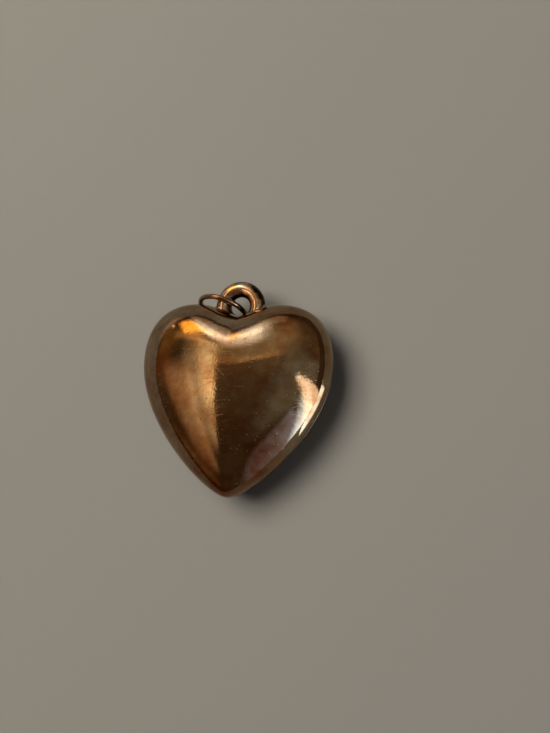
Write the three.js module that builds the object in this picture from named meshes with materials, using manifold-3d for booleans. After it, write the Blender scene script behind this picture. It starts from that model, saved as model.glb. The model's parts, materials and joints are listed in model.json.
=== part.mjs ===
import * as THREE from 'three';
import { mergeVertices } from 'three/addons/utils/BufferGeometryUtils.js';
import Module from 'manifold-3d';

// A puffed hollow heart pendant, in millimetres, lying on its back: +X across the lobes,
// +Y from the tip to the bail, +Z out of the front. Two struck half shells are soldered rim to
// rim, an arch of thick wire is soldered into the cleft, and a thin jump ring hangs on the arch.

// Heart outline in the seam plane, measured from the middle of its width
const HEART_WIDTH = 30;
const WIDEST_Y = 4.1;
const LOBE_TOP_X = 6.6;
const LOBE_TOP_Y = 13.25;
const CLEFT_Y = 11.55;
const TIP_Y = -16;

// How far the outline runs straight out of those points before it bends to the next one
const CLEFT_REACH = 1.3;
const LOBE_INNER_REACH = 2.6;
const LOBE_OUTER_REACH = 4.7;
const SHOULDER_REACH = 6.3;
const FLANK_REACH = 9.9;
const TIP_REACH = 3.2;

// The puff, the sheet it is struck from, and the solder thread between the rims
const HEART_THICKNESS = 11.5;
const CROWN_Y = 0.7;
const SHEET = 0.6;
const SEAM = 0.25;
const VENT = 0.8;

// Bail: an arch of round wire, its centre above the cleft, its feet cut to the cleft's slopes
const BAIL_RADIUS = 2.7;
const BAIL_WIRE = 2.4;
const BAIL_RISE = 1.4;
const BAIL_FOOT_ANGLE = 50;

// Solder under the bail's feet: its thickness, how far it runs out, and the joint to each neighbour
const SOLDER_DEPTH = 0.45;
const SOLDER_SPREAD = 0.3;
const SOLDER_JOINT = 0.15;

// Jump ring, and how it hangs on the bail's arm: yaw, lean and swing in degrees
const RING_RADIUS = 3.8;
const RING_WIRE = 0.8;
const RING_KERF = 0.15;
const RING_CLEARANCE = 0.25;
const RING_YAW = 5;
const RING_LEAN = 20;
const RING_SWING = 19;

// Facets
const CLEFT_STEPS = 10;
const LOBE_STEPS = 10;
const FLANK_STEPS = 14;
const DOME_RINGS = 9;
const FOOT_RISE = 0.02;
const WIRE_SIDES = 12;
const BAIL_STEPS = 28;
const RING_STEPS = 48;
const RING_TRIES = 12;

// Points closer than this are one point, and a slot's cutter is this many times what it cuts
const WELD = 1e-4;
const THROUGH = 4;

const SIDE_STEPS = CLEFT_STEPS + LOBE_STEPS + FLANK_STEPS;
const BAIL_Y = CLEFT_Y + BAIL_RISE;
const BAIL_TOP_Y = BAIL_Y + BAIL_RADIUS + BAIL_WIRE / 2;
const MIDDLE_Y = (BAIL_TOP_Y + TIP_Y) / 2;

const wasm = await Module();
wasm.setup();

// The outline, anticlockwise from the cleft, as six curves mirrored about the heart's axis
function heartOutline() {
  const cleft = new THREE.Vector2(0, CLEFT_Y);
  const lobe = new THREE.Vector2(LOBE_TOP_X, LOBE_TOP_Y);
  const side = new THREE.Vector2(HEART_WIDTH / 2, WIDEST_Y);
  const tip = new THREE.Vector2(0, TIP_Y);
  const run = (from, dx, dy) => new THREE.Vector2(from.x + dx, from.y + dy);
  const curve = (...points) => new THREE.CubicBezierCurve(...points);
  const inner = curve(cleft, run(cleft, CLEFT_REACH, 0), run(lobe, -LOBE_INNER_REACH, 0), lobe);
  const outer = curve(lobe, run(lobe, LOBE_OUTER_REACH, 0), run(side, 0, SHOULDER_REACH), side);
  const flank = curve(side, run(side, 0, -FLANK_REACH), run(tip, TIP_REACH, 0), tip);
  const right = [
    ...inner.getPoints(CLEFT_STEPS).slice(0, -1),
    ...outer.getPoints(LOBE_STEPS).slice(0, -1),
    ...flank.getPoints(FLANK_STEPS),
  ];
  const left = right.slice(1, -1).map((p) => new THREE.Vector2(-p.x, p.y));
  return [...left, right.at(-1), ...right.slice(0, -1).reverse()];
}

// The outline moved along its own normals, outwards for a positive distance
function offsetOutline(outline, distance) {
  return outline.map((point, i) => {
    const before = outline.at(i - 1);
    const after = outline[(i + 1) % outline.length];
    const along = after.clone().sub(before).normalize();
    return new THREE.Vector2(point.x + along.y * distance, point.y - along.x * distance);
  });
}

// A smooth distance from a point to the outline: close to the true distance at the rim, rounded
// inside, from the mean of the reciprocal distances in every direction
function smoothDistance(point, outline) {
  let sum = 0;
  outline.forEach((corner, i) => {
    const a = corner.clone().sub(point);
    const b = outline[(i + 1) % outline.length].clone().sub(point);
    const tanHalf = a.cross(b) / (a.length() * b.length() + a.dot(b));
    sum += (1 / a.length() + 1 / b.length()) * tanHalf;
  });
  return 2 / sum;
}

// Rings of a dome on an outline, from just under its crown down to the rim, and the crown itself.
// The surface leaves the rim upright and closes over as a blown bubble does. Four corners of the
// first ring stand a hair proud of the crown, so that the heart lies on them and doesn't roll.
function dome(outline, height, floor) {
  const crown = new THREE.Vector2(0, CROWN_Y);
  const deepest = smoothDistance(crown, outline);
  const feet = [CLEFT_STEPS + LOBE_STEPS / 2, SIDE_STEPS - FLANK_STEPS / 2];
  const rings = [];
  for (let i = 1; i < DOME_RINGS; i += 1) {
    const shrink = Math.sin((i / DOME_RINGS) * (Math.PI / 2));
    rings.push(outline.map((rim, ray) => {
      const point = rim.clone().sub(crown).multiplyScalar(shrink).add(crown);
      const puff = Math.sqrt(smoothDistance(point, outline) / deepest);
      const fromCleft = Math.min(ray + 1, 2 * SIDE_STEPS - 1 - ray);
      const rise = i === 1 && feet.includes(fromCleft) ? height : (height - FOOT_RISE) * puff;
      return new THREE.Vector3(point.x, point.y, floor + rise);
    }));
  }
  rings.push(outline.map((rim) => new THREE.Vector3(rim.x, rim.y, floor)));
  return { pole: new THREE.Vector3(crown.x, crown.y, floor + height - FOOT_RISE), rings };
}

// A closed skin from one pole through anticlockwise rings to the other pole
function loft(firstPole, rings, lastPole) {
  const count = rings[0].length;
  const points = [firstPole, ...rings.flat(), lastPole];
  const last = points.length - 1;
  const at = (ring, i) => 1 + ring * count + (i % count);
  const faces = [];
  for (let i = 0; i < count; i += 1) {
    faces.push(0, at(0, i), at(0, i + 1));
    for (let ring = 0; ring + 1 < rings.length; ring += 1) {
      faces.push(at(ring, i), at(ring + 1, i), at(ring + 1, i + 1));
      faces.push(at(ring, i), at(ring + 1, i + 1), at(ring, i + 1));
    }
    faces.push(last, at(rings.length - 1, i + 1), at(rings.length - 1, i));
  }
  const geometry = new THREE.BufferGeometry().setFromPoints(points);
  geometry.setIndex(faces);
  return geometry;
}

// Half shell: the outer dome down to the rim, across the sheet, and up the inner dome
function shellGeometry() {
  const outer = heartOutline();
  const rise = (HEART_THICKNESS - SEAM) / 2;
  const skin = dome(outer, rise, SEAM / 2);
  const lining = dome(offsetOutline(outer, -SHEET), rise - SHEET, SEAM / 2);
  return loft(skin.pole, [...skin.rings, ...lining.rings.reverse()], lining.pole);
}

// The whole heart as one solid, grown by a distance, to cut what stands on it
function grownHeart(distance) {
  const outline = offsetOutline(heartOutline(), distance);
  const { pole, rings } = dome(outline, HEART_THICKNESS / 2 + distance, 0);
  const under = rings.slice(0, -1).reverse();
  const mirrored = under.map((ring) => ring.map((p) => new THREE.Vector3(p.x, p.y, -p.z)));
  return loft(pole, [...rings, ...mirrored], new THREE.Vector3(pole.x, pole.y, -pole.z));
}

// A circular arc in the XY plane, angles in degrees
class Arc extends THREE.Curve {
  constructor(radius, from, to) {
    super();
    Object.assign(this, { radius, from, to });
  }

  getPoint(t) {
    const angle = THREE.MathUtils.degToRad(THREE.MathUtils.lerp(this.from, this.to, t));
    return new THREE.Vector3(this.radius * Math.cos(angle), this.radius * Math.sin(angle), 0);
  }
}

// Round wire of one diameter along an arc
function wireGeometry(diameter, arc, steps) {
  const section = new THREE.Shape().absarc(0, 0, diameter / 2, 0, 2 * Math.PI);
  const options = { steps, curveSegments: WIRE_SIDES / 2, bevelEnabled: false, extrudePath: arc };
  return new THREE.ExtrudeGeometry(section, options);
}

function toSolid(geometry) {
  const bare = geometry.clone();
  bare.deleteAttribute('normal');
  bare.deleteAttribute('uv');
  const merged = mergeVertices(bare, WELD);
  const vertProperties = new Float32Array(merged.attributes.position.array);
  const triVerts = new Uint32Array(merged.index.array);
  return new wasm.Manifold(new wasm.Mesh({ numProp: 3, vertProperties, triVerts }));
}

function fromSolid(solid) {
  const { vertProperties, triVerts } = solid.getMesh();
  const geometry = new THREE.BufferGeometry();
  geometry.setAttribute('position', new THREE.BufferAttribute(vertProperties, 3));
  geometry.setIndex(new THREE.BufferAttribute(triVerts, 1));
  return geometry;
}

// The band between the two rims, open at the cleft for the vent
function seamGeometry() {
  const outer = heartOutline();
  const band = new THREE.Shape(outer);
  band.holes.push(new THREE.Path(offsetOutline(outer, -SHEET)));
  const ring = new THREE.ExtrudeGeometry(band, { depth: SEAM, bevelEnabled: false });
  ring.translate(0, 0, -SEAM / 2);
  const slot = new THREE.BoxGeometry(VENT, THROUGH * SHEET, THROUGH * SEAM);
  slot.translate(0, CLEFT_Y - SHEET / 2, 0);
  return fromSolid(toSolid(ring).subtract(toSolid(slot)));
}

// The wire arch, its feet cut off where the solder starts
function bailGeometry() {
  const arc = new Arc(BAIL_RADIUS, -BAIL_FOOT_ANGLE, 180 + BAIL_FOOT_ANGLE);
  const wire = wireGeometry(BAIL_WIRE, arc, BAIL_STEPS).translate(0, BAIL_Y, 0);
  const cutter = grownHeart(2 * SOLDER_JOINT + SOLDER_DEPTH);
  return fromSolid(toSolid(wire).subtract(toSolid(cutter)));
}

// The pad of solder that lies on the heart under one foot
function solderGeometry(from, to) {
  const arc = new Arc(BAIL_RADIUS, from, to);
  const spread = BAIL_WIRE + 2 * SOLDER_SPREAD;
  const foot = toSolid(wireGeometry(spread, arc, BAIL_STEPS / 2).translate(0, BAIL_Y, 0));
  const bed = toSolid(grownHeart(SOLDER_JOINT));
  const top = toSolid(grownHeart(SOLDER_JOINT + SOLDER_DEPTH));
  return fromSolid(foot.intersect(top).subtract(bed));
}

// The sawn ring, standing in the XZ plane with the saw cut at its lowest point
function ringGeometry() {
  const halfCut = THREE.MathUtils.radToDeg(RING_KERF / RING_RADIUS / 2);
  const arc = new Arc(RING_RADIUS, halfCut - 90, 270 - halfCut);
  return wireGeometry(RING_WIRE, arc, RING_STEPS).rotateX(Math.PI / 2);
}

function piece(name, geometry, color, roughness) {
  const metal = new THREE.MeshStandardMaterial({ color, roughness, metalness: 1 });
  const mesh = new THREE.Mesh(geometry, metal);
  mesh.name = name;
  return mesh;
}

// The ring on the bail by a named clearance, at a place round the arch in degrees
function ringAt(place) {
  const { degToRad } = THREE.MathUtils;
  const angle = degToRad(place);
  const lean = degToRad(RING_LEAN);
  const perch = new THREE.Group();
  perch.position.set(BAIL_RADIUS * Math.cos(angle), BAIL_Y + BAIL_RADIUS * Math.sin(angle), 0);
  perch.rotation.set(-lean, degToRad(RING_SWING), degToRad(place - 180 - RING_YAW), 'ZXY');
  const ring = piece('jump_ring', ringGeometry(), '#8a6a4c', 0.25);
  const armAcrossRing = BAIL_WIRE / 2 / Math.cos(lean);
  ring.position.z = -(RING_RADIUS - RING_WIRE / 2 - armAcrossRing - RING_CLEARANCE);
  perch.add(ring);
  perch.updateMatrixWorld(true);
  return perch;
}

// The ring slides down the bail's left arm until it lies the same clearance off the shoulder
function hungRing() {
  const shoulder = toSolid(grownHeart(RING_CLEARANCE));
  let clear = 90;
  let touching = 180 + BAIL_FOOT_ANGLE;
  for (let i = 0; i < RING_TRIES; i += 1) {
    const place = (clear + touching) / 2;
    const [ring] = ringAt(place).children;
    const solid = toSolid(ring.geometry.clone().applyMatrix4(ring.matrixWorld));
    if (solid.intersect(shoulder).isEmpty()) {
      clear = place;
    } else {
      touching = place;
    }
  }
  return ringAt(clear);
}

const pendant = new THREE.Group();
pendant.position.set(0, -MIDDLE_Y, HEART_THICKNESS / 2);
pendant.add(
  piece('front_shell', shellGeometry(), '#8f6c4e', 0.18),
  piece('back_shell', shellGeometry().rotateY(Math.PI), '#8f6c4e', 0.18),
  piece('seam_solder', seamGeometry(), '#7a6250', 0.35),
  piece('bail_loop', bailGeometry(), '#a67a52', 0.22),
  piece('left_foot_solder', solderGeometry(90, 180 + BAIL_FOOT_ANGLE), '#b39a80', 0.35),
  piece('right_foot_solder', solderGeometry(-BAIL_FOOT_ANGLE, 90), '#b39a80', 0.35),
  hungRing(),
);

export default pendant;
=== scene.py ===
import json
import math

import bpy
from mathutils import Matrix, Vector
from mathutils.bvhtree import BVHTree
from mathutils.geometry import interpolate_bezier


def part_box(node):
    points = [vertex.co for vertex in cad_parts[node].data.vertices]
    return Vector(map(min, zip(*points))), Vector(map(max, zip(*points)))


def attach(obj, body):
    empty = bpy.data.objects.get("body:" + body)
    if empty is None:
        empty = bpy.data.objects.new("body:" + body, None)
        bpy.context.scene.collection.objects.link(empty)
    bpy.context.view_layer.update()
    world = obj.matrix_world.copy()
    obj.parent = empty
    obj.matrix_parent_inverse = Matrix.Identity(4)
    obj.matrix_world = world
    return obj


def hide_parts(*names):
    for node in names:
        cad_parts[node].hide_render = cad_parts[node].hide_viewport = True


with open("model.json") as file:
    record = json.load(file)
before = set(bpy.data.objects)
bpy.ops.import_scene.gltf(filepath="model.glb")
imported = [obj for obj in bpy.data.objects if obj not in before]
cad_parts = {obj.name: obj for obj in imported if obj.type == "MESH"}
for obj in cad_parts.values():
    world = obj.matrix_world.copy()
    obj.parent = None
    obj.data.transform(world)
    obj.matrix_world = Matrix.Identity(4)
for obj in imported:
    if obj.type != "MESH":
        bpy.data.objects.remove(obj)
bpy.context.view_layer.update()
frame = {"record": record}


# The heart is two half shells, struck in a die from thin bronze sheet and soldered rim to rim.
# Each puffs up from a heart-shaped rim as a bubble does: upright at the rim, round at the crown.
# They were polished bright, and years of wear have browned them and left scuffs, pits and dents.
MM = 0.001
HALF_WIDTH = 15 * MM
WIDEST_Y = 4.1 * MM
LOBE_X = 6.6 * MM
LOBE_Y = 13.25 * MM
CLEFT_Y = 11.55 * MM
TIP_Y = -16 * MM
CLEFT_REACH = 1.3 * MM
LOBE_INNER_REACH = 2.6 * MM
LOBE_OUTER_REACH = 4.7 * MM
SHOULDER_REACH = 6.3 * MM
FLANK_REACH = 9.9 * MM
TIP_REACH = 3.2 * MM
CROWN_Y = 0.7 * MM
CREASE_SHARE = 0.055
CREASE_WIDTH = 1.1 * MM
CREASE_LENGTH = 6 * MM
SHEET = 0.6 * MM
RIM_STEPS = 40
SHELL_RINGS = 56
UNEVENNESS = 0.03 * MM
UNEVEN_WIDTH = 5 * MM
RIM_STIFFNESS = 8
WELD = 0.001 * MM
SHARP_EDGE = math.radians(50)

front_low, front_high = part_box("front_shell")
_, back_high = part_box("back_shell")
SEAM_Z = (front_low.z + back_high.z) / 2
AXIS = Vector((0, front_low.y - TIP_Y, SEAM_Z))


def rim_points():
    """Points round the rim in the seam plane, anticlockwise from the cleft."""
    left, right = Vector((-1, 0, 0)), Vector((1, 0, 0))
    up, down = Vector((0, 1, 0)), Vector((0, -1, 0))
    knots = [
        (Vector((0, CLEFT_Y, 0)), left, CLEFT_REACH, CLEFT_REACH),
        (Vector((-LOBE_X, LOBE_Y, 0)), left, LOBE_INNER_REACH, LOBE_OUTER_REACH),
        (Vector((-HALF_WIDTH, WIDEST_Y, 0)), down, SHOULDER_REACH, FLANK_REACH),
        (Vector((0, TIP_Y, 0)), right, TIP_REACH, TIP_REACH),
        (Vector((HALF_WIDTH, WIDEST_Y, 0)), up, FLANK_REACH, SHOULDER_REACH),
        (Vector((LOBE_X, LOBE_Y, 0)), left, LOBE_OUTER_REACH, LOBE_INNER_REACH),
    ]
    points = []
    for (start, run, _, leave), (end, end_run, arrive, _) in zip(knots, knots[1:] + knots[:1]):
        bend = (start + run * leave, end - end_run * arrive)
        points += interpolate_bezier(start, *bend, end, RIM_STEPS + 1)[:-1]
    return [point + AXIS for point in points]


def path_mesh(name, points, closed):
    """A chain of edges through these points, for a tree to work on."""
    edges = [(i, i + 1) for i in range(len(points) - 1)]
    if closed:
        edges.append((len(points) - 1, 0))
    mesh = bpy.data.meshes.new(name)
    mesh.from_pydata(points, edges, [])
    return mesh


def add_node(tree, kind, inputs=(), **settings):
    """Adds a node with its settings, and fills its inputs with values or other nodes' outputs."""
    node = tree.nodes.new(kind)
    for name, value in settings.items():
        setattr(node, name, value)
    for key, value in inputs.items() if isinstance(inputs, dict) else enumerate(inputs):
        if isinstance(value, bpy.types.Node):
            value = value.outputs[0]
        if isinstance(value, bpy.types.NodeSocket):
            tree.links.new(value, node.inputs[key])
        else:
            node.inputs[key].default_value = value
    return node


def shape_tree(name, sizes):
    """A geometry tree that has a mesh going in, one coming out, and these named inputs."""
    tree = bpy.data.node_groups.new(name, "GeometryNodeTree")
    tree.interface.new_socket("Geometry", in_out="OUTPUT", socket_type="NodeSocketGeometry")
    tree.interface.new_socket("Geometry", in_out="INPUT", socket_type="NodeSocketGeometry")
    for label, kind in sizes.items():
        tree.interface.new_socket(label, in_out="INPUT", socket_type="NodeSocket" + kind)
    tree.interface.new_socket("Finish", in_out="INPUT", socket_type="NodeSocketMaterial")
    return tree, add_node(tree, "NodeGroupInput").outputs


def end_tree(tree, geometry, finish):
    """Ends a tree: real, smooth geometry in its finish."""
    real = add_node(tree, "GeometryNodeRealizeInstances", [geometry])
    smooth = add_node(tree, "GeometryNodeSetShadeSmooth", [real])
    coated = add_node(tree, "GeometryNodeSetMaterial", {"Geometry": smooth, "Material": finish})
    add_node(tree, "NodeGroupOutput", [coated])


def made_piece(name, mesh, tree, sizes, sheet=0):
    """Runs a tree on a mesh, thickens it to a sheet if asked, and keeps the result as a mesh."""
    piece = bpy.data.objects.new(name, mesh)
    bpy.context.scene.collection.objects.link(piece)
    shape = piece.modifiers.new(tree.name, "NODES")
    shape.node_group = tree
    for item in tree.interface.items_tree:
        if item.in_out == "INPUT" and item.name in sizes:
            shape[item.identifier] = sizes[item.name]
    if sheet:
        wall = piece.modifiers.new("sheet", "SOLIDIFY")
        wall.thickness = sheet
        wall.offset = -1
    seen = piece.evaluated_get(bpy.context.evaluated_depsgraph_get())
    made = bpy.data.meshes.new_from_object(seen)
    made.set_sharp_from_angle(angle=SHARP_EDGE)
    piece.modifiers.clear()
    piece.data = made
    made.name = name
    return piece


def struck_shell_tree():
    """Raises a puffed dome on the rim it is given.

    A point's height goes with the square root of a smooth distance to the rim. Its reciprocal, the
    closeness, is the mean of the reciprocal distances to the rim in every direction, and is summed
    over the rim's edges one by one.
    """
    tree, sizes = shape_tree(
        "struck_half_shell",
        {
            "Rise": "Float",
            "Rim Gap": "Float",
            "Crown": "Vector",
            "Cleft": "Vector",
            "Crease Share": "Float",
            "Crease Width": "Float",
            "Crease Length": "Float",
            "Columns": "Int",
            "Rings": "Int",
            "Turn": "Rotation",
            "Unevenness": "Float",
            "Uneven Width": "Float",
            "Seed": "Float",
        },
    )
    columns = sizes["Columns"]
    spot = add_node(tree, "GeometryNodeInputPosition")
    rim_share = add_node(
        tree, "GeometryNodeInputNamedAttribute", {"Name": "rim_share"}, data_type="FLOAT"
    )
    closeness = add_node(
        tree, "GeometryNodeInputNamedAttribute", {"Name": "closeness"}, data_type="FLOAT"
    )

    # A unit net of columns round the heart and rings from the crown out to the rim
    net_columns = add_node(tree, "ShaderNodeMath", [columns, 1], operation="ADD")
    net_rings = add_node(tree, "ShaderNodeMath", [sizes["Rings"], 1], operation="ADD")
    net = add_node(
        tree,
        "GeometryNodeMeshGrid",
        {"Size X": 1, "Size Y": 1, "Vertices X": net_columns, "Vertices Y": net_rings},
    )
    from_corner = add_node(tree, "ShaderNodeVectorMath", [spot, (0.5, 0.5, 0)], operation="ADD")
    share = add_node(tree, "ShaderNodeSeparateXYZ", [from_corner])
    numbered = add_node(
        tree,
        "GeometryNodeStoreNamedAttribute",
        {"Geometry": net, "Name": "rim_share", "Value": share.outputs["Y"]},
    )

    # The rim's corner at each column of the net, and at both ends of the edge of each later pass
    part_way = add_node(tree, "ShaderNodeMath", [share.outputs["X"], columns], operation="MULTIPLY")
    nearest = add_node(tree, "ShaderNodeMath", [part_way], operation="ROUND")
    column = add_node(tree, "ShaderNodeMath", [nearest, columns], operation="MODULO")
    first_pass = add_node(tree, "GeometryNodeRepeatInput")
    edge = first_pass.outputs["Iteration"]
    following = add_node(tree, "ShaderNodeMath", [edge, 1], operation="ADD")
    next_edge = add_node(tree, "ShaderNodeMath", [following, columns], operation="MODULO")
    corner, edge_start, edge_end = [
        add_node(
            tree,
            "GeometryNodeSampleIndex",
            {"Geometry": sizes["Geometry"], "Value": spot, "Index": index},
            data_type="FLOAT_VECTOR",
        )
        for index in (column, edge, next_edge)
    ]

    # The net laid flat in the seam plane, its rings closing up towards the rim
    quarter = add_node(
        tree, "ShaderNodeMath", [share.outputs["Y"], math.pi / 2], operation="MULTIPLY"
    )
    reach = add_node(tree, "ShaderNodeMath", [quarter], operation="SINE")
    ray = add_node(tree, "ShaderNodeVectorMath", [corner, sizes["Crown"]], operation="SUBTRACT")
    spread = add_node(tree, "ShaderNodeVectorMath", {0: ray, "Scale": reach}, operation="SCALE")
    laid = add_node(tree, "ShaderNodeVectorMath", [sizes["Crown"], spread], operation="ADD")
    flat = add_node(tree, "GeometryNodeSetPosition", {"Geometry": numbered, "Position": laid})

    # One pass for each edge of the rim adds what that edge gives to the closeness of the rim:
    # the tangent of half its angle as seen from the point, times the sum of the two reciprocals
    # of the distances to its ends
    last_pass = add_node(tree, "GeometryNodeRepeatOutput")
    first_pass.pair_with_output(last_pass)
    tree.links.new(columns, first_pass.inputs["Iterations"])
    tree.links.new(flat.outputs[0], first_pass.inputs["Geometry"])
    a = add_node(tree, "ShaderNodeVectorMath", [edge_start, spot], operation="SUBTRACT")
    b = add_node(tree, "ShaderNodeVectorMath", [edge_end, spot], operation="SUBTRACT")
    far_a = add_node(tree, "ShaderNodeVectorMath", [a], operation="LENGTH").outputs["Value"]
    far_b = add_node(tree, "ShaderNodeVectorMath", [b], operation="LENGTH").outputs["Value"]
    dot = add_node(tree, "ShaderNodeVectorMath", [a, b], operation="DOT_PRODUCT").outputs["Value"]
    cross = add_node(tree, "ShaderNodeVectorMath", [a, b], operation="CROSS_PRODUCT")
    area = add_node(tree, "ShaderNodeSeparateXYZ", [cross]).outputs["Z"]
    facing = add_node(tree, "ShaderNodeMath", [far_a, far_b, dot], operation="MULTIPLY_ADD")
    tangent = add_node(tree, "ShaderNodeMath", [area, facing], operation="DIVIDE")
    near_a = add_node(tree, "ShaderNodeMath", [1, far_a], operation="DIVIDE")
    near_b = add_node(tree, "ShaderNodeMath", [1, far_b], operation="DIVIDE")
    near = add_node(tree, "ShaderNodeMath", [near_a, near_b], operation="ADD")
    total = add_node(tree, "ShaderNodeMath", [near, tangent, closeness], operation="MULTIPLY_ADD")
    added = add_node(
        tree,
        "GeometryNodeStoreNamedAttribute",
        {"Geometry": first_pass.outputs["Geometry"], "Name": "closeness", "Value": total},
    )
    tree.links.new(added.outputs[0], last_pass.inputs["Geometry"])
    summed = last_pass.outputs["Geometry"]

    # The puff of the dome is 1 at the crown, which is the net's first point
    crown = add_node(
        tree,
        "GeometryNodeSampleIndex",
        {"Geometry": summed, "Value": closeness, "Index": 0},
        data_type="FLOAT",
    )
    distance = add_node(tree, "ShaderNodeMath", [crown, closeness], operation="DIVIDE")
    puff = add_node(tree, "ShaderNodeMath", [distance], operation="SQRT")

    # The die's two lobes meet in a soft crease that runs in from the cleft and dies out
    from_cleft = add_node(
        tree, "ShaderNodeVectorMath", [spot, sizes["Cleft"]], operation="SUBTRACT"
    )
    places = add_node(tree, "ShaderNodeSeparateXYZ", [from_cleft])
    widths = add_node(
        tree, "ShaderNodeMath", [places.outputs["X"], sizes["Crease Width"]], operation="DIVIDE"
    )
    aside = add_node(tree, "ShaderNodeMath", [widths, widths, 1], operation="MULTIPLY_ADD")
    near_crease = add_node(tree, "ShaderNodeMath", [1, aside], operation="DIVIDE")
    lengths = add_node(
        tree, "ShaderNodeMath", [places.outputs["Y"], sizes["Crease Length"]], operation="DIVIDE"
    )
    running = add_node(
        tree,
        "ShaderNodeMapRange",
        {"Value": lengths, "From Min": -1, "From Max": 0, "To Max": sizes["Crease Share"]},
        interpolation_type="SMOOTHSTEP",
    )
    fold = add_node(tree, "ShaderNodeMath", [near_crease, running], operation="MULTIPLY")
    kept = add_node(tree, "ShaderNodeMath", [1, fold], operation="SUBTRACT")
    creased = add_node(tree, "ShaderNodeMath", [puff, kept], operation="MULTIPLY")

    # The net is lifted to the dome, all but its last ring, which is the rim
    half_ring = add_node(tree, "ShaderNodeMath", [0.5, sizes["Rings"]], operation="DIVIDE")
    last_gap = add_node(tree, "ShaderNodeMath", [1, half_ring], operation="SUBTRACT")
    inside = add_node(tree, "ShaderNodeMath", [rim_share, last_gap], operation="LESS_THAN")
    rise = add_node(tree, "ShaderNodeMath", [sizes["Rise"], inside], operation="MULTIPLY")
    height = add_node(
        tree, "ShaderNodeMath", [creased, rise, sizes["Rim Gap"]], operation="MULTIPLY_ADD"
    )
    lift = add_node(tree, "ShaderNodeCombineXYZ", {"Z": height})
    domed = add_node(tree, "GeometryNodeSetPosition", {"Geometry": summed, "Offset": lift})
    welded = add_node(tree, "GeometryNodeMergeByDistance", {"Geometry": domed, "Distance": WELD})
    outward = add_node(tree, "GeometryNodeFlipFaces", [welded])

    # Polishing by hand and wear leave the sheet slightly hollow in places, but not at its rim
    per_metre = add_node(tree, "ShaderNodeMath", [1, sizes["Uneven Width"]], operation="DIVIDE")
    waves = add_node(
        tree,
        "ShaderNodeTexNoise",
        {"Vector": spot, "W": sizes["Seed"], "Scale": per_metre, "Detail": 1},
        noise_dimensions="4D",
    )
    hollow = add_node(tree, "ShaderNodeMath", [waves, 1], operation="SUBTRACT")
    depth = add_node(tree, "ShaderNodeMath", [hollow, sizes["Unevenness"]], operation="MULTIPLY")
    near_rim = add_node(tree, "ShaderNodeMath", [rim_share, RIM_STIFFNESS], operation="POWER")
    from_rim = add_node(tree, "ShaderNodeMath", [1, near_rim], operation="SUBTRACT")
    dent = add_node(tree, "ShaderNodeMath", [depth, from_rim], operation="MULTIPLY")
    normal = add_node(tree, "GeometryNodeInputNormal")
    push = add_node(tree, "ShaderNodeVectorMath", {0: normal, "Scale": dent}, operation="SCALE")
    dented = add_node(tree, "GeometryNodeSetPosition", {"Geometry": outward, "Offset": push})

    # The back shell is the same one turned over about the seam
    seam_middle = Vector((0, 0, SEAM_Z))
    lowered = add_node(
        tree, "GeometryNodeTransform", {"Geometry": dented, "Translation": -seam_middle}
    )
    turned = add_node(
        tree,
        "GeometryNodeTransform",
        {"Geometry": lowered, "Rotation": sizes["Turn"], "Translation": seam_middle},
    )
    end_tree(tree, turned, sizes["Finish"])
    return tree


def linear(hex_colour):
    """An sRGB hex colour as linear red, green, blue and full alpha."""
    channels = [int(hex_colour[i : i + 2], 16) / 255 for i in (1, 3, 5)]
    return [((c + 0.055) / 1.055) ** 2.4 if c > 0.04045 else c / 12.92 for c in channels] + [1.0]


def new_finish(name):
    """An empty material with its tree, and the place of a point on the piece in metres."""
    material = bpy.data.materials.new(name)
    material.use_nodes = True
    material.node_tree.nodes.clear()
    place = add_node(material.node_tree, "ShaderNodeTexCoord").outputs["Object"]
    return material, material.node_tree, place


def set_stops(ramp, stops):
    """Gives a colour ramp its stops, each a place and a colour."""
    for _ in stops[2:]:
        ramp.color_ramp.elements.new(0.5)
    for element, (position, colour) in zip(ramp.color_ramp.elements, stops):
        element.position = position
        element.color = colour


def finish_metal(tree, colour, roughness, height, depth):
    """Ends a metal's tree; where its height goes from 0 to 1, its relief has this depth."""
    relief = add_node(
        tree, "ShaderNodeBump", {"Strength": 1, "Distance": depth, "Height": height}
    )
    shader = add_node(
        tree,
        "ShaderNodeBsdfPrincipled",
        {"Base Color": colour, "Metallic": 1, "Roughness": roughness, "Normal": relief},
    )
    add_node(tree, "ShaderNodeOutputMaterial", [shader])


CLOUD = 6 * MM
BLOTCH = 1.2 * MM
BLOTCH_SHADE = 0.06
RED_WAY = (-0.45, -0.9, 0)
RED_STARTS = 2 * MM
RED_FULL = 13 * MM
RED_SHADE = -0.2
SCRATCH_LAYER = 2 * MM
SCRATCH_EDGE = 0.07
PIT_FLOOR = 0.5
PIT_LIP = 1.2
GRAIN = 0.4 * MM
GRAIN_HEIGHT = 0.45
SCRATCH_HEIGHT = -0.12
PIT_HEIGHT = -0.6
BRONZE_RELIEF = 0.015 * MM


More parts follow.
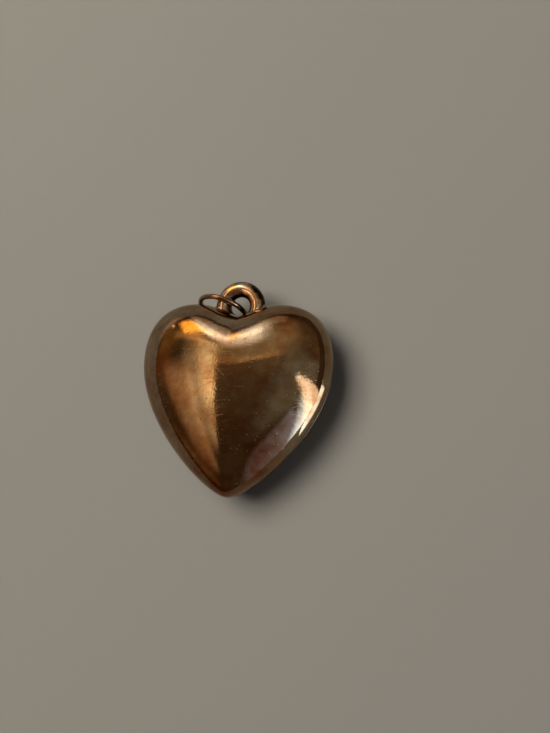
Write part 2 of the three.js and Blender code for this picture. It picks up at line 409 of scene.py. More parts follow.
def browned_bronze():
    """Polished bronze, browned with age: a dark warm mirror, redder to its left and tip.

    Fine scratches, pits and specks break its reflections up, as wear does.
    """
    material, tree, place = new_finish("browned_bronze")
    clouds = add_node(
        tree,
        "ShaderNodeTexNoise",
        {"Vector": place, "Scale": 1 / CLOUD, "Detail": 6, "Roughness": 0.65},
    )
    # Darker and redder towards the tip and its lower left
    leftwards = add_node(tree, "ShaderNodeVectorMath", [place, RED_WAY], operation="DOT_PRODUCT")
    reddened = add_node(
        tree,
        "ShaderNodeMapRange",
        [leftwards.outputs["Value"], RED_STARTS, RED_FULL, 0, RED_SHADE],
    )
    blotches = add_node(
        tree, "ShaderNodeTexNoise", {"Vector": place, "Scale": 1 / BLOTCH, "Detail": 4}
    )
    blotched = add_node(
        tree,
        "ShaderNodeMapRange",
        {
            "Value": blotches,
            "From Min": 0.3,
            "From Max": 0.7,
            "To Min": -BLOTCH_SHADE,
            "To Max": BLOTCH_SHADE,
        },
    )
    darkening = add_node(tree, "ShaderNodeMath", [reddened, blotched], operation="ADD")
    bright = add_node(tree, "ShaderNodeMath", [clouds, darkening], operation="ADD")
    browns = add_node(tree, "ShaderNodeValToRGB", [bright])
    set_stops(
        browns,
        [(0.24, linear("#764628")), (0.42, linear("#886848")), (0.62, linear("#988265"))],
    )

    # Scratches: noise drawn out to lines, and the level of it at which a line starts.
    # Real ones are finer. These are as wide as they have to be to show.
    marks = 0
    for turn, length, width, starts in (
        (0.45, 6 * MM, 0.08 * MM, 0.73),
        (-0.7, 5 * MM, 0.08 * MM, 0.75),
        (1.4, 8 * MM, 0.1 * MM, 0.74),
        (0.05, 5 * MM, 0.07 * MM, 0.71),
    ):
        drawn = add_node(
            tree,
            "ShaderNodeMapping",
            {"Vector": place, "Rotation": (0, 0, turn), "Scale": (length, width, SCRATCH_LAYER)},
            vector_type="TEXTURE",
        )
        lines = add_node(tree, "ShaderNodeTexNoise", {"Vector": drawn, "Scale": 1, "Detail": 1})
        cut = add_node(tree, "ShaderNodeMapRange", [lines, starts, starts + SCRATCH_EDGE, 0, 1])
        marks = add_node(tree, "ShaderNodeMath", [cut, marks], operation="MAXIMUM")

    # Pits in some cells of a 2 mm pattern, and deeper specks in many cells of a 0.7 mm one:
    # a cell has one if its own random shade is over the lowest that is given here
    holes = 0
    for cell, radius, lowest, deep in (
        (2 * MM, 0.14 * MM, 0.55, 1),
        (0.7 * MM, 0.08 * MM, 0.45, 2),
    ):
        cells = add_node(tree, "ShaderNodeTexVoronoi", {"Vector": place, "Scale": 1 / cell})
        hole = add_node(
            tree,
            "ShaderNodeMapRange",
            {
                "Value": cells.outputs["Distance"],
                "From Min": PIT_FLOOR * radius / cell,
                "From Max": PIT_LIP * radius / cell,
                "To Min": deep,
                "To Max": 0,
            },
        )
        chosen = add_node(
            tree, "ShaderNodeMath", [cells.outputs["Color"], lowest], operation="GREATER_THAN"
        )
        holes = add_node(tree, "ShaderNodeMath", [hole, chosen, holes], operation="MULTIPLY_ADD")

    # The polished sheet has a faint grain under its scratches and pits
    grain = add_node(
        tree, "ShaderNodeTexNoise", {"Vector": place, "Scale": 1 / GRAIN, "Detail": 4}
    )
    surface = add_node(tree, "ShaderNodeMath", [grain, GRAIN_HEIGHT, 1], operation="MULTIPLY_ADD")
    for wear_and_painted_shading, level in ((marks, SCRATCH_HEIGHT), (holes, PIT_HEIGHT)):
        surface = add_node(tree, "ShaderNodeMath", [wear_and_painted_shading, level, surface], operation="MULTIPLY_ADD")
    # The darker and redder it is, the duller
    rough = add_node(
        tree,
        "ShaderNodeMapRange",
        {"Value": bright, "From Min": 0.25, "From Max": 0.6, "To Min": 0.1, "To Max": 0.05},
    )
    finish_metal(tree, browns, rough, surface, BRONZE_RELIEF)
    return material


shell_tree = struck_shell_tree()
shell_sizes = {
    "Rise": front_high.z - front_low.z,
    "Rim Gap": front_low.z - SEAM_Z,
    "Crown": AXIS + Vector((0, CROWN_Y, 0)),
    "Cleft": AXIS + Vector((0, CLEFT_Y, 0)),
    "Crease Share": CREASE_SHARE,
    "Crease Width": CREASE_WIDTH,
    "Crease Length": CREASE_LENGTH,
    "Columns": len(rim_points()),
    "Rings": SHELL_RINGS,
    "Unevenness": UNEVENNESS,
    "Uneven Width": UNEVEN_WIDTH,
    "Finish": browned_bronze(),
}
shells = {}
for name, seed, turn in (("front", 1.0, 0), ("back", 2.0, math.pi)):
    half = made_piece(
        name + "_half",
        path_mesh(name + "_rim", rim_points(), closed=True),
        shell_tree,
        shell_sizes | {"Seed": seed, "Turn": (0, turn, 0)},
        SHEET,
    )
    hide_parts(name + "_shell")
    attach(half, "heart")
    shells[name] = half


# The seam is hard solder run between the two rims, filed flush and polished over with the shells.
# A short gap in it at the cleft is the vent, which lets hot air out while the seam is soldered.
SEAM = 0.25 * MM
VENT = 0.8 * MM
BEAD_SIDES = 16
SEAM_PATCH = 2 * MM
FILE_MARK = 0.12 * MM
SEAM_RELIEF = 0.01 * MM


def soldered_seam_tree():
    """Runs a flat rounded bead along the rim it is given, set in so that its outside is flush."""
    tree, sizes = shape_tree(
        "soldered_seam", {"Bead Width": "Float", "Bead Height": "Float", "Vent": "Float"}
    )
    half_vent, half_wide, half_high = [
        add_node(tree, "ShaderNodeMath", [sizes[label], 0.5], operation="MULTIPLY")
        for label in ("Vent", "Bead Width", "Bead Height")
    ]
    path = add_node(tree, "GeometryNodeMeshToCurve", {"Mesh": sizes["Geometry"]})
    length = add_node(tree, "GeometryNodeCurveLength", [path])
    end = add_node(tree, "ShaderNodeMath", [length, half_vent], operation="SUBTRACT")
    # Start and end as lengths are inputs 4 and 5, because the same names come first as shares
    vented = add_node(
        tree, "GeometryNodeTrimCurve", {"Curve": path, 4: half_vent, 5: end}, mode="LENGTH"
    )
    along = add_node(tree, "GeometryNodeInputTangent")
    inwards = add_node(
        tree, "ShaderNodeVectorMath", [(0, 0, 1), along], operation="CROSS_PRODUCT"
    )
    inset = add_node(
        tree, "ShaderNodeVectorMath", {0: inwards, "Scale": half_wide}, operation="SCALE"
    )
    middle = add_node(tree, "GeometryNodeSetPosition", {"Geometry": vented, "Offset": inset})
    level = add_node(tree, "GeometryNodeSetCurveNormal", [middle], mode="Z_UP")
    disc = add_node(
        tree, "GeometryNodeCurvePrimitiveCircle", {"Resolution": BEAD_SIDES, "Radius": 1}
    )
    flat = add_node(tree, "ShaderNodeCombineXYZ", [half_wide, half_high, 1])
    section = add_node(tree, "GeometryNodeTransform", {"Geometry": disc, "Scale": flat})
    bead = add_node(
        tree,
        "GeometryNodeCurveToMesh",
        {"Curve": level, "Profile Curve": section, "Fill Caps": True},
    )
    end_tree(tree, bead, sizes["Finish"])
    return tree


def patchy_metal(tree, place, patch, dark, light, lightening=0):
    """Noise in patches about this big, and the colour that it gives between dark and light.

    Lightening is added to the noise, so the patches are lighter where it is higher.
    The wires pass their painted light and shade in it.
    """
    clouds = add_node(
        tree, "ShaderNodeTexNoise", {"Vector": place, "Scale": 1 / patch, "Detail": 4}
    )
    bright = add_node(tree, "ShaderNodeMath", [clouds, lightening], operation="ADD")
    browns = add_node(tree, "ShaderNodeValToRGB", [bright])
    set_stops(browns, [(0.36, linear(dark)), (0.64, linear(light))])
    return bright, browns


def filed_solder():
    """Greyer and duller than the bronze, with a filed grain, so the seam shows as a fine line.

    A fine file's marks are closer than these, which are as coarse as they have to be to show.
    """
    material, tree, place = new_finish("filed_solder")
    clouds, greys = patchy_metal(tree, place, SEAM_PATCH, "#5c4a3b", "#7d6853")
    grain = add_node(tree, "ShaderNodeTexNoise", {"Vector": place, "Scale": 1 / FILE_MARK})
    rough = add_node(
        tree,
        "ShaderNodeMapRange",
        {"Value": clouds, "From Min": 0.3, "From Max": 0.7, "To Min": 0.38, "To Max": 0.24},
    )
    finish_metal(tree, greys, rough, grain, SEAM_RELIEF)
    return material


seam_points = rim_points()
seam = made_piece(
    "seam_bead",
    path_mesh("seam_path", seam_points + seam_points[:1], closed=False),
    soldered_seam_tree(),
    {"Bead Width": SHEET, "Bead Height": SEAM, "Vent": VENT, "Finish": filed_solder()},
)
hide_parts("seam_solder")
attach(seam, "heart")


# The bail is one length of thick drawn bronze wire, bent into an arch and stood in the cleft.
# Its ends are filed to sit on the shells, and the rest is left round. Its colour has painted light
# along its top and painted shade below.
BAIL_RADIUS = 2.7 * MM
BAIL_WIRE = 2.4 * MM
BAIL_RISE = 1.4 * MM
BAIL_FOOT_ANGLE = math.radians(50)
BAIL_MIDDLE = AXIS + Vector((0, CLEFT_Y + BAIL_RISE, 0))
BAIL_STEPS = 96
WIRE_SIDES = 40
WIRE_PATCH = 1.5 * MM
WIRE_SHADE = 0.2
TARNISH_ROUGHNESS = 0.1
DIE_LINE = 0.07 * MM
DIE_LINE_SHORTENING = 0.03
WIRE_RELIEF = 0.004 * MM


def bent_wire_tree():
    """Bends a round wire to part of a circle.

    It keeps where each point is on the wire's section and along its length, for the finish to use.
    """
    tree, sizes = shape_tree(
        "bent_wire",
        {
            "Bend Radius": "Float",
            "Wire Radius": "Float",
            "Start": "Float",
            "Sweep": "Float",
            "Steps": "Int",
            "Middle": "Vector",
            "Turn": "Rotation",
        },
    )
    arc = add_node(
        tree,
        "GeometryNodeCurveArc",
        {
            "Resolution": sizes["Steps"],
            "Radius": sizes["Bend Radius"],
            "Start Angle": sizes["Start"],
            "Sweep Angle": sizes["Sweep"],
        },
    )
    run = add_node(tree, "GeometryNodeSplineParameter").outputs["Length"]
    measured = add_node(
        tree,
        "GeometryNodeStoreNamedAttribute",
        {"Geometry": arc, "Name": "wire_run", "Value": run},
    )
    circle = add_node(
        tree,
        "GeometryNodeCurvePrimitiveCircle",
        {"Resolution": WIRE_SIDES, "Radius": sizes["Wire Radius"]},
    )
    spot = add_node(tree, "GeometryNodeInputPosition")
    section = add_node(
        tree,
        "GeometryNodeStoreNamedAttribute",
        {"Geometry": circle, "Name": "wire_section", "Value": spot},
        data_type="FLOAT_VECTOR",
    )
    wire = add_node(
        tree,
        "GeometryNodeCurveToMesh",
        {"Curve": measured, "Profile Curve": section, "Fill Caps": True},
    )
    placed = add_node(
        tree,
        "GeometryNodeTransform",
        {"Geometry": wire, "Translation": sizes["Middle"], "Rotation": sizes["Turn"]},
    )
    end_tree(tree, placed, sizes["Finish"])
    return tree


def drawn_wire(name, dark, light, roughness, darkening, lightening):
    """Drawn bronze wire with fine lines that the die left along its length.

    Tarnish darkens it in patches. Over that, painted shade darkens it most below one height, and
    painted light brightens it most above the other. The real lines are finer: these are as coarse
    as they have to be to show.
    """
    material, tree, place = new_finish(name)
    # Painted light and shade: lighter towards the top of the wire, darker towards its bottom
    height = add_node(tree, "ShaderNodeSeparateXYZ", [place]).outputs["Z"]
    wear_and_painted_shading = add_node(
        tree, "ShaderNodeMapRange", [height, darkening, lightening, -WIRE_SHADE, WIRE_SHADE]
    )
    clouds, browns = patchy_metal(tree, place, WIRE_PATCH, dark, light, wear_and_painted_shading)
    section = add_node(tree, "ShaderNodeAttribute", attribute_name="wire_section")
    run = add_node(tree, "ShaderNodeAttribute", attribute_name="wire_run")
    # A point's place on the straight wire, with its length shortened so that the noise draws out
    short = add_node(
        tree, "ShaderNodeMath", [run.outputs["Fac"], DIE_LINE_SHORTENING], operation="MULTIPLY"
    )
    lengthwise = add_node(tree, "ShaderNodeCombineXYZ", {"Z": short})
    straight = add_node(
        tree, "ShaderNodeVectorMath", [section.outputs["Vector"], lengthwise], operation="ADD"
    )
    lines = add_node(tree, "ShaderNodeTexNoise", {"Vector": straight, "Scale": 1 / DIE_LINE})
    rough = add_node(
        tree,
        "ShaderNodeMapRange",
        {
            "Value": clouds,
            "From Min": 0.35,
            "From Max": 0.65,
            "To Min": roughness + TARNISH_ROUGHNESS,
            "To Max": roughness,
        },
    )
    finish_metal(tree, browns, rough, lines, WIRE_RELIEF)
    return material


wire_tree = bent_wire_tree()
bail = made_piece(
    "bail_wire",
    bpy.data.meshes.new("bail_wire"),
    wire_tree,
    {
        "Bend Radius": BAIL_RADIUS,
        "Wire Radius": BAIL_WIRE / 2,
        "Start": -BAIL_FOOT_ANGLE,
        "Sweep": math.pi + 2 * BAIL_FOOT_ANGLE,
        "Steps": BAIL_STEPS,
        "Middle": BAIL_MIDDLE,
        # Painted shade darkens the arch below the lower height, and painted light brightens it
        # above the upper one
        "Finish": drawn_wire(
            "rubbed_bronze_wire",
            dark="#2e2015",
            light="#dcb48e",
            roughness=0.12,
            darkening=SEAM_Z + 0.65 * MM,
            lightening=SEAM_Z + 1.2 * MM,
        ),
    },
)
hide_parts("bail_loop")
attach(bail, "heart")


# Hard solder holds each foot of the bail on the shells, run into the corner as a small fillet.
# It was left as it ran, so it is paler than the bronze and uneven round the wire.
COLLAR_STEPS = 64
COLLAR_HEIGHT = 0.45 * MM
COLLAR_SPREAD = 0.3 * MM
COLLAR_SINK = 0.12 * MM
COLLAR_EDGE_SINK = COLLAR_SINK / 3
COLLAR_HOLLOW = 0.4
FILLET_POINTS = 7
FOOT_STEP = math.radians(0.5)
SOLDER_PATCH = 0.6 * MM
SOLDER_GRAIN = 0.2 * MM
SOLDER_RELIEF = 0.03 * MM
front_skin = BVHTree.FromObject(shells["front"], bpy.context.evaluated_depsgraph_get())


def heart_height(point):
    """How high the front shell stands over the seam plane here, and its outward normal there."""
    above = Vector((point.x, point.y, 1))
    spot, normal, _, _ = front_skin.ray_cast(above, Vector((0, 0, -1)))
    return (spot.z - SEAM_Z, normal) if spot else (None, None)


def on_heart(point):
    """The point moved straight up or down to the heart's outside, and the outward normal there."""
    height, normal = heart_height(point)
    if height is None:
        return point, (point - BAIL_MIDDLE).normalized()
    side = 1 if point.z > SEAM_Z else -1
    normal = Vector((normal.x, normal.y, normal.z * side))
    return Vector((point.x, point.y, SEAM_Z + side * height)), normal


def wire_point(angle, roll):
    """A point on the bail's skin, by angle round the arch and roll round the wire."""
    away = Vector((math.cos(angle), math.sin(angle), 0))
    out = away * math.cos(roll) + Vector((0, 0, math.sin(roll)))
    return BAIL_MIDDLE + away * BAIL_RADIUS + out * BAIL_WIRE / 2, out


def solder_collar(name, side):
    """A fillet of solder round the right (1) or left (-1) foot of the bail."""
    verts, faces = [], []
    for step in range(COLLAR_STEPS):
        roll = 2 * math.pi * step / COLLAR_STEPS
        # Down the arm from the top of the arch to where this side of the wire meets the heart
        drop = 0
        while drop < math.pi / 2 + BAIL_FOOT_ANGLE:
            corner, out = wire_point(math.pi / 2 - side * drop, roll)
            height, _ = heart_height(corner)
            if height is not None and abs(corner.z - SEAM_Z) < height:
                break
            drop += FOOT_STEP
        # The fillet runs up the wire and out on the shell, further in some places than in others
        swell = 1 + 0.2 * math.sin(2 * roll + side) + 0.15 * math.sin(5 * roll + 2 * side)
        rise = COLLAR_HEIGHT * swell / BAIL_RADIUS
        on_wire, wire_out = wire_point(math.pi / 2 - side * (drop - rise), roll)
        _, normal = on_heart(corner)
        outward = (out - normal * out.dot(normal)).normalized()
        on_shell, shell_out = on_heart(corner + outward * COLLAR_SPREAD * swell)
        on_wire -= wire_out * COLLAR_EDGE_SINK
        on_shell -= shell_out * COLLAR_EDGE_SINK
        hollow = corner.lerp((on_wire + on_shell) / 2, COLLAR_HOLLOW)
        # Bends two thirds of the way to the hollow make this a curve with one plain bend
        bend = (on_wire.lerp(hollow, 2 / 3), on_shell.lerp(hollow, 2 / 3))
        fillet = interpolate_bezier(on_wire, *bend, on_shell, FILLET_POINTS)
        ring = list(fillet) + [corner - (out + normal) * COLLAR_SINK]
        verts += ring
        count = len(ring)
        here, there = step * count, (step + 1) % COLLAR_STEPS * count
        for i in range(count):
            j = (i + 1) % count
            faces.append((here + i, here + j, there + j, there + i)[::-side])
    mesh = bpy.data.meshes.new(name)
    mesh.from_pydata(verts, [], faces)
    mesh.shade_smooth()
    mesh.set_sharp_from_angle(angle=SHARP_EDGE)
    return mesh


def run_solder():
    """Solder as it ran and set: paler and yellower than the bronze, grainy, and darker in patches.
    """
    material, tree, place = new_finish("run_solder")
    clouds, pales = patchy_metal(tree, place, SOLDER_PATCH, "#86694c", "#b6a080")
    grain = add_node(tree, "ShaderNodeTexNoise", {"Vector": place, "Scale": 1 / SOLDER_GRAIN})
    rough = add_node(
        tree,
        "ShaderNodeMapRange",
        {"Value": clouds, "From Min": 0.3, "From Max": 0.7, "To Min": 0.3, "To Max": 0.16},
    )
    finish_metal(tree, pales, rough, grain, SOLDER_RELIEF)
    return material


solder = run_solder()
for side, name in ((-1, "left_foot"), (1, "right_foot")):
    collar = bpy.data.objects.new(name + "_fillet", solder_collar(name + "_fillet", side))
    bpy.context.scene.collection.objects.link(collar)
    collar.data.materials.append(solder)
    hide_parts(name + "_solder")
    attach(collar, "heart")


# The jump ring is a round of thin bronze wire, sawn from a coil and squeezed shut over the bail.
# It hangs loose on the bail's left arm with its saw cut lowest, and is dull from handling.
RING_RADIUS = 3.8 * MM
RING_WIRE = 0.8 * MM
RING_KERF = 0.15 * MM
RING_STEPS = 128
eye = frame["record"]["mounts"][0]
ring_axis = Vector(eye["axis"]).normalized()
downhill = (Vector((0, 0, -1)) + ring_axis * ring_axis.z).normalized()
ring_turn = Matrix((downhill, ring_axis.cross(downhill), ring_axis)).transposed()
half_cut = RING_KERF / RING_RADIUS / 2
ring = made_piece(
    "jump_ring_wire",
    bpy.data.meshes.new("jump_ring_wire"),
    wire_tree,
    {
        "Bend Radius": RING_RADIUS,
        "Wire Radius": RING_WIRE / 2,
        "Start": half_cut,
        "Sweep": 2 * math.pi - 2 * half_cut,
        "Steps": RING_STEPS,
        "Middle": Vector(eye["pos_m"]),
        "Turn": ring_turn.to_euler(),
        # Painted shade darkens the ring towards its bottom, and painted light brightens its top
        "Finish": drawn_wire(
            "dulled_bronze_wire",
            dark="#4f3c2a",
            light="#98785a",
            roughness=0.14,
            darkening=SEAM_Z - 5 * MM,
            lightening=SEAM_Z + 1 * MM,
        ),
    },
)
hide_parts("jump_ring")
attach(ring, "jump_ring")


# The floor is a plain pale table top, matt and even, that fills the photograph's view.
# It isn't part of the object.
FLOOR_HALF = 2
corners = [(-1, -1), (1, -1), (1, 1), (-1, 1)]
floor_mesh = bpy.data.meshes.new("floor")
floor_mesh.from_pydata(
    [(x * FLOOR_HALF, y * FLOOR_HALF, 0) for x, y in corners], [], [(0, 1, 2, 3)]
)
floor = bpy.data.objects.new("floor", floor_mesh)
bpy.context.scene.collection.objects.link(floor)
matt, matt_tree, _ = new_finish("pale_matt_floor")
matt_shader = add_node(
    matt_tree, "ShaderNodeBsdfPrincipled", {"Base Color": linear("#a5a5a0"), "Roughness": 0.9}
)
add_node(matt_tree, "ShaderNodeOutputMaterial", [matt_shader])
floor_mesh.materials.append(matt)


# The light is soft: panels round the table, level, standing or sloped, in a dim warm room.
# The polished metal mirrors them, so each has the place and tint that the heart's skin shows.
# Lengths are in metres from the middle of the table, and radiance is red, green and blue.
def new_lamp(name, matrix, wide, deep, radiance, across=(), along=(), taper=1):
    """A panel that shines along its own -Z and isn't itself in view.

    Its radiance is scaled by the stops (place, share) across it and along it, so that its edges
    can fade. The stops across it draw in towards its foot, where they have this share of its width.
    """
    data = bpy.data.lights.new(name, "AREA")
    data.shape = "RECTANGLE"
    data.size = wide
    data.size_y = deep
    brightest = max(radiance)
    data.energy = brightest * math.pi * wide * deep
    data.use_nodes = True
    tree = data.node_tree
    tree.nodes.clear()
    place = add_node(tree, "ShaderNodeNewGeometry").outputs["Parametric"]
    sides = add_node(tree, "ShaderNodeSeparateXYZ", [place])
    spread = add_node(tree, "ShaderNodeMapRange", [sides.outputs["Y"], 0, 1, taper, 1])
    aside = add_node(tree, "ShaderNodeMath", [sides.outputs["X"], 0.5], operation="SUBTRACT")
    drawn_in = add_node(tree, "ShaderNodeMath", [aside, spread], operation="DIVIDE")
    from_side = add_node(tree, "ShaderNodeMath", [drawn_in, 0.5], operation="ADD")
    strength = 1
    for distance, stops in ((from_side, across), (sides.outputs["Y"], along)):
        if stops:
            fade = add_node(tree, "ShaderNodeValToRGB", [distance])
            fade.color_ramp.interpolation = "EASE"
            set_stops(fade, [(position, (share, share, share, 1)) for position, share in stops])
            strength = add_node(tree, "ShaderNodeMath", [fade, strength], operation="MULTIPLY")
    tint = [channel / brightest for channel in radiance] + [1]
    glow = add_node(tree, "ShaderNodeEmission", {"Color": tint, "Strength": strength})
    add_node(tree, "ShaderNodeOutputLight", [glow])
    lamp = bpy.data.objects.new(name, data)
    lamp.matrix_world = matrix
    lamp.visible_camera = False
    bpy.context.scene.collection.objects.link(lamp)
    return lamp


def level_panel(name, height, middle, size, radiance, turn=0, across=(), along=()):
    """A level panel; its middle and size are in heights of the panel over the table."""
    at = Matrix.Translation(Vector((*middle, 1)) * height)
    turned = at @ Matrix.Rotation(math.radians(turn), 4, "Z")
    return new_lamp(name, turned, size[0] * height, size[1] * height, radiance, across, along)


def standing_panel(name, foot, head, wide, radiance, across=(), along=()):
    """A panel from foot to head that faces the heart; along it, the foot is at 0."""
    foot, head = Vector(foot), Vector(head)
    lengthwise = (head - foot).normalized()
    middle = (foot + head) / 2
    behind = (middle - lengthwise * middle.dot(lengthwise)).normalized()
    turn = Matrix((lengthwise.cross(behind), lengthwise, behind)).transposed().to_4x4()
    at = Matrix.Translation(middle) @ turn
    return new_lamp(name, at, wide, (head - foot).length, radiance, across, along)


# Panels overhead at the left, which the heart's left half shows
level_panel(
    "left_strip",
    height=0.60,
    middle=(-0.63, 0.08),
    size=(0.40, 1.3),
    turn=2,
    radiance=(3.2, 2.5, 1.65),
    across=[(0, 0), (0.5, 0.25), (0.85, 0.9), (1, 1)],
    along=[(0, 0), (0.3, 0.35), (0.5, 0.95), (0.66, 0.68), (0.8, 0.45), (1, 0.4)],
)
level_panel(
    "left_panel",
    height=0.62,
    middle=(-1.5, -0.45),
    size=(2.0, 1.5),
    turn=8,
    radiance=(0.92, 0.61, 0.39),
    across=[(0, 0.05), (0.5, 0.06), (0.8, 0.8), (0.92, 1), (1, 0)],
    along=[(0, 0), (0.4, 0.7), (0.75, 1), (1, 0)],
)
level_panel(
    "tan_panel",
    height=0.61,
    middle=(-0.8, 0.78),
    size=(0.66, 0.36),
    radiance=(1.15, 0.68, 0.28),
    across=[(0, 0), (0.35, 0.5), (0.8, 1), (1, 0.3)],
    along=[(0, 0), (0.35, 1), (0.65, 1), (1, 0)],
)
level_panel(
    "lower_left_panel",
    height=0.63,
    middle=(-1.55, -1.5),
    size=(1.9, 1.9),
    radiance=(0.26, 0.16, 0.05),
    across=[(0, 1), (0.6, 0.8), (1, 0)],
    along=[(0, 0.5), (0.6, 1), (1, 0)],
)
level_panel(
    "left_glint",
    height=0.65,
    middle=(-1.42, 1.27),
    size=(0.12, 0.5),
    turn=50,
    radiance=(3.2, 2.9, 2.4),
    across=[(0, 0), (0.5, 1), (1, 0)],
    along=[(0, 0), (0.5, 1), (1, 0)],
)
# Two low ones near the cleft, which the two lobes show in different places
level_panel(
    "warm_lamp",
    height=0.07,
    middle=(-0.81, 1.19),
    size=(0.52, 0.86),
    turn=36,
    radiance=(4.2, 2.1, 0.3),
    across=[(0, 0), (0.25, 1), (0.8, 1), (1, 0)],
    along=[(0, 0), (0.2, 1), (0.7, 0.9), (1, 0)],
)
level_panel(
    "upper_left_panel",
    height=0.072,
    middle=(-0.39, 1.16),
    size=(0.42, 1.3),
    turn=24,
    radiance=(3.9, 4.0, 4.4),
    across=[(0, 0), (0.15, 0.8), (0.4, 1), (0.62, 0.3), (1, 0)],
    along=[(0, 0), (0.2, 0.45), (0.4, 1), (0.7, 0.4), (1, 0.15)],
)
# Dim ones overhead, which give the darker parts of the heart their tints
level_panel(
    "upper_panel",
    height=0.68,
    middle=(-0.2, 1.02),
    size=(0.9, 1.4),
    radiance=(0.42, 0.33, 0.21),
    across=[(0, 0.5), (0.3, 1), (0.6, 1), (1, 0)],
    along=[(0, 0.9), (0.08, 1), (0.4, 0.85), (1, 0)],
)
level_panel(
    "edge_strip",
    height=0.685,
    middle=(-0.19, 0.345),
    size=(0.5, 0.05),
    radiance=(0.42, 0.26, 0.13),
    across=[(0, 0), (0.2, 1), (0.8, 1), (1, 0)],
    along=[(0, 0.6), (0.4, 1), (1, 0)],
)
level_panel(
    "upper_right_panel",
    height=0.69,
    middle=(1.05, 1.2),
    size=(2.4, 2.3),
    radiance=(0.4, 0.33, 0.23),
    across=[(0, 0.3), (0.13, 1), (0.3, 0.33), (1, 0.33)],
    along=[(0, 0), (0.3, 1), (0.5, 0.8), (1, 0.4)],
)
level_panel(
    "far_left_panel",
    height=0.70,
    middle=(-1.9, 1.6),
    size=(1.4, 1.6),
    radiance=(0.6, 0.42, 0.26),
    across=[(0, 0.6), (0.6, 1), (1, 0)],
    along=[(0, 0), (0.4, 1), (1, 0.7)],
)
level_panel(
    "right_panel",
    height=0.72,
    middle=(1.15, -0.05),
    size=(2.4, 1.0),
    radiance=(0.22, 0.28, 0.3),
    across=[(0, 0), (0.12, 0.9), (0.5, 1), (1, 0.7)],
    along=[(0, 0), (0.4, 1), (0.7, 1), (1, 0)],
)
level_panel(
    "red_panel",
    height=0.74,
    middle=(-1.8, 0.25),
    size=(1.8, 1.0),
    radiance=(0.18, 0.05, 0.002),
    across=[(0, 0.6), (0.8, 1), (1, 0)],
    along=[(0, 0), (0.5, 1), (1, 0)],
)
level_panel(
    "brown_panel",
    height=0.75,
    middle=(-1.4, 0.75),
    size=(1.3, 0.8),
    radiance=(0.24, 0.14, 0.03),
    across=[(0, 0.3), (0.3, 1), (0.7, 1), (1, 0)],
    along=[(0, 0), (0.35, 1), (0.7, 1), (1, 0.3)],
)
level_panel(
    "dim_panel",
    height=0.76,
    middle=(-0.2, 0.0),
    size=(0.5, 0.8),
    radiance=(0.15, 0.11, 0.075),
    along=[(0, 0), (0.5, 0.35), (1, 1)],
)
# A board beyond the bail, which the heart shows just under the cleft
standing_panel(
    "back_board",
    foot=(-0.15, 0.57, 0.2),
    head=(-0.15, 0.57, 0.47),
    wide=0.32,
    radiance=(0.6, 0.55, 0.52),
    across=[(0, 0), (0.25, 1), (0.75, 1), (1, 0)],
    along=[(0, 0), (0.3, 1), (0.8, 1), (1, 0)],
)
# Two tall panels at the right lean away, so that the heart's right side shows a wedge of light,
# and a dimmer board stands beside them
standing_panel(
    "right_strip",
    foot=(0.54, -0.26, 0),
    head=(2.52, 0.24, 6.0),
    wide=0.22,
    radiance=(3.5, 3.6, 3.8),
    across=[(0, 0.4), (0.3, 0.9), (0.6, 1), (1, 0.85)],
)
standing_panel(
    "right_window",
    foot=(0.50, -0.38, 0),
    head=(0.92, -0.20, 1.3),
    wide=0.26,
    radiance=(2.8, 4.0, 5.8),
    across=[(0, 0), (0.4, 0.8), (1, 1)],
    along=[(0, 1), (0.3, 0.6), (1, 0)],
)
standing_panel(
    "lower_right_board",
    foot=(0.53, -0.72, 0),
    head=(0.53, -0.72, 1.5),
    wide=0.75,
    radiance=(0.54, 0.6, 1.0),
    across=[(0, 0), (0.3, 0.6), (1, 1)],
    along=[(0, 0.9), (0.35, 0.8), (0.7, 0.6), (1, 0)],
)
# A card on the table carries the wedge down below the horizon, as the heart's right side shows it
CARD_WAY = math.radians(-21)
CARD_MIDDLE = 0.122
CARD_LIFT = 0.0005
card_out = Vector((math.cos(CARD_WAY), math.sin(CARD_WAY), 0))
card_down = Vector((0, 0, -1))
card_turn = Matrix((card_out.cross(card_down), card_out, card_down)).transposed().to_4x4()
new_lamp(
    "right_card",
    Matrix.Translation(card_out * CARD_MIDDLE - card_down * CARD_LIFT) @ card_turn,
    wide=0.1,
    deep=0.196,
    radiance=(3.6, 4.6, 5.8),
    across=[(0, 0), (0.04, 1), (0.96, 1), (1, 0)],
    along=[(0, 0), (0.04, 1)],
    taper=0.15,
)
# A pale board at the left slopes up from the table, so that the heart's left side shows it
BOARD_SLOPE = math.radians(27)
BOARD_WAY = math.radians(152)
BOARD_STARTS = 0.4
BOARD_LENGTH = 2.4
board_near = Vector((BOARD_STARTS, 0, 0))
board_run = Vector((math.cos(BOARD_SLOPE), 0, math.sin(BOARD_SLOPE))) * BOARD_LENGTH
board_turn = Matrix.Rotation(BOARD_WAY, 3, "Z")
standing_panel(
    "left_board",
    foot=board_turn @ board_near,
    head=board_turn @ (board_near + board_run),
    wide=6.0,
    radiance=(0.2, 0.23, 0.26),
)
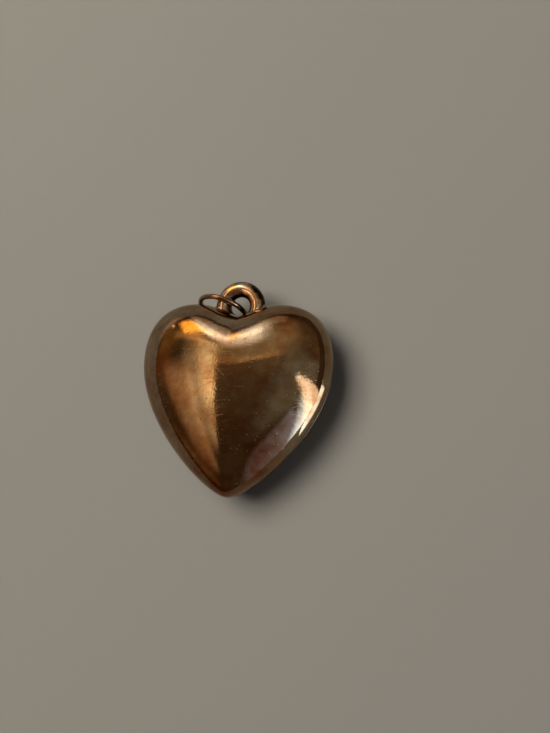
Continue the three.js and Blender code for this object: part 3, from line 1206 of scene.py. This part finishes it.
# All of these show in the metal and don't light the table. The table's own light does not show in
# the metal: the main one, from the upper left, and a weak one overhead that thins its shadow.
for panel in [item for item in bpy.data.objects if item.type == "LIGHT"]:
    panel.visible_diffuse = False
main_light = level_panel(
    "main_light", height=0.9, middle=(-0.46, 0.35), size=(0.8, 0.8), radiance=(5.9, 5.3, 4.65)
)
fill_light = level_panel(
    "fill_light", height=1.2, middle=(0, 0), size=(2.5, 2.5), radiance=(0.035, 0.04, 0.04)
)
for lamp in (main_light, fill_light):
    lamp.visible_glossy = False

# The room's walls show in the metal wherever no panel does, and don't light the table either
room = bpy.data.worlds.new("dim_room")
room.use_nodes = True
room.node_tree.nodes.clear()
walls = add_node(
    room.node_tree, "ShaderNodeBackground", {"Color": (0.095, 0.063, 0.038, 1), "Strength": 1.0}
)
add_node(room.node_tree, "ShaderNodeOutputWorld", [walls])
room.cycles_visibility.diffuse = False
bpy.context.scene.world = room


# The camera stands where the photograph's stood: a hand's width above the heart, off to its right
# and a little to its tip. Its focal length is in pixels of the photograph, 733 of them high.
PHOTO_HEIGHT = 733
FOCAL_PIXELS = 900
SENSOR = 36
CAMERA_AIM = Vector((6.065 * MM, 3.939 * MM, 0)) + AXIS
CAMERA_DISTANCE = 134.83 * MM
CAMERA_ELEVATION = math.radians(71.82)
CAMERA_AZIMUTH = math.radians(-22.59)
CAMERA_ROLL = math.radians(3.8)

backwards = Vector(
    (
        math.cos(CAMERA_ELEVATION) * math.cos(CAMERA_AZIMUTH),
        math.cos(CAMERA_ELEVATION) * math.sin(CAMERA_AZIMUTH),
        math.sin(CAMERA_ELEVATION),
    )
)
rightwards = Vector((0, 1, 0)).cross(backwards).normalized()
upwards = backwards.cross(rightwards)
level_facing = Matrix((rightwards, upwards, backwards)).transposed()
facing = level_facing @ Matrix.Rotation(CAMERA_ROLL, 3, "Z")
lens = bpy.data.cameras.new("camera")
lens.sensor_width = SENSOR
lens.lens = FOCAL_PIXELS / PHOTO_HEIGHT * SENSOR
lens.clip_start = 1 * MM
camera = bpy.data.objects.new("camera", lens)
camera.matrix_world = Matrix.Translation(CAMERA_AIM + backwards * CAMERA_DISTANCE) @ facing.to_4x4()
bpy.context.scene.collection.objects.link(camera)
bpy.context.scene.camera = camera
bpy.context.scene.view_settings.view_transform = "Standard"
